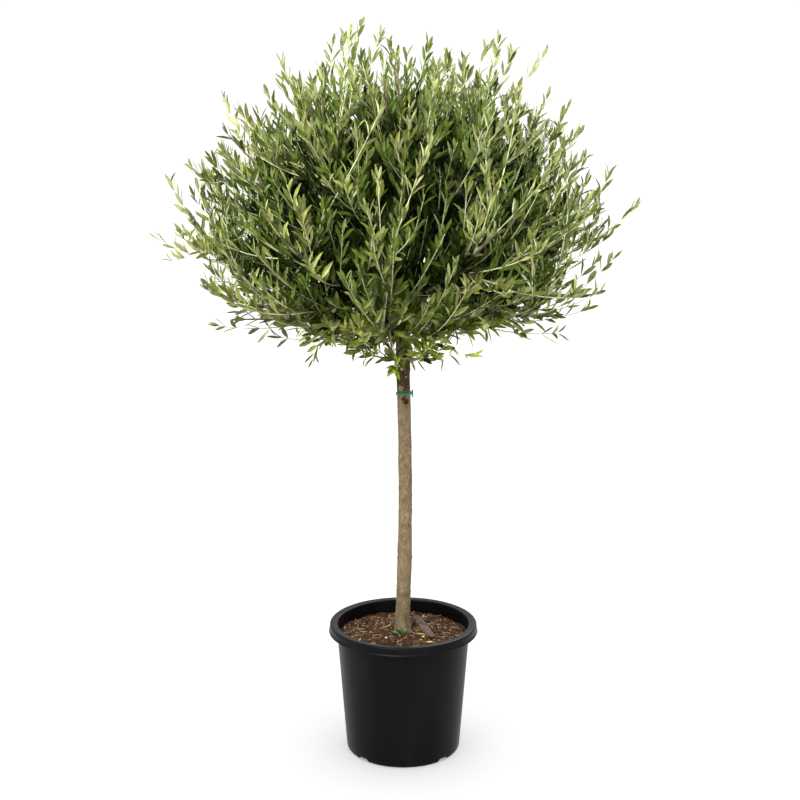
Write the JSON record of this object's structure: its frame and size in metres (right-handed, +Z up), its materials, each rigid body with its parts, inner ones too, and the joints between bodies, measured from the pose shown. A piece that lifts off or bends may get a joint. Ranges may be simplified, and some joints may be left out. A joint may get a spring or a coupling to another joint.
{
  "type": "potted olive tree",
  "caption": "Olive tree trained as a standard, a round spiky crown on a clear straight stem, growing in a round black plastic nursery pot.",
  "frame": {"origin": "centre of the pot's flat underside, on the ground", "axes": "+Z up along the stem; -Y the front the picture shows; +X to the right as seen from the front"},
  "size_m": [1.035, 0.9405, 1.633],
  "materials": {
    "pot_plastic": "satin black moulded plastic",
    "compost": "loose damp bark mulch, rough",
    "bark": "pale grey-tan bark, fine vertical streaks, matt",
    "young_bark": "grey-green young bark, matt",
    "foliage": "grey-green leaves, satin above and silvery below",
    "tie_plastic": "glossy green plastic"
  },
  "bodies": {
    "root": {"pot": "pot_plastic", "soil": "compost", "trunk": "bark", "tie": "tie_plastic", "bough_skirt_1": "young_bark", "bough_skirt_2": "young_bark", "bough_skirt_3": "young_bark", "bough_skirt_4": "young_bark", "bough_skirt_5": "young_bark", "bough_skirt_6": "young_bark", "bough_low_1": "young_bark", "bough_low_2": "young_bark", "bough_low_3": "young_bark", "bough_low_4": "young_bark", "bough_low_5": "young_bark", "bough_low_6": "young_bark", "bough_middle_1": "young_bark", "bough_middle_2": "young_bark", "bough_middle_3": "young_bark", "bough_middle_4": "young_bark", "bough_middle_5": "young_bark", "bough_middle_6": "young_bark", "bough_upper_1": "young_bark", "bough_upper_2": "young_bark", "bough_upper_3": "young_bark", "bough_upper_4": "young_bark", "foliage_sprig_1": "foliage", "foliage_sprig_2": "foliage", "foliage_sprig_3": "foliage", "foliage_sprig_4": "foliage", "foliage_sprig_5": "foliage", "foliage_skirt_1": "foliage", "foliage_skirt_2": "foliage", "foliage_skirt_3": "foliage", "foliage_skirt_4": "foliage", "foliage_skirt_5": "foliage", "foliage_skirt_6": "foliage", "foliage_low_1": "foliage", "foliage_low_2": "foliage", "foliage_low_3": "foliage", "foliage_low_4": "foliage", "foliage_low_5": "foliage", "foliage_low_6": "foliage", "foliage_middle_1": "foliage", "foliage_middle_2": "foliage", "foliage_middle_3": "foliage", "foliage_middle_4": "foliage", "foliage_middle_5": "foliage", "foliage_middle_6": "foliage", "foliage_upper_1": "foliage", "foliage_upper_2": "foliage", "foliage_upper_3": "foliage", "foliage_upper_4": "foliage", "foliage_leader": "foliage"}
  },
  "joints": []
}
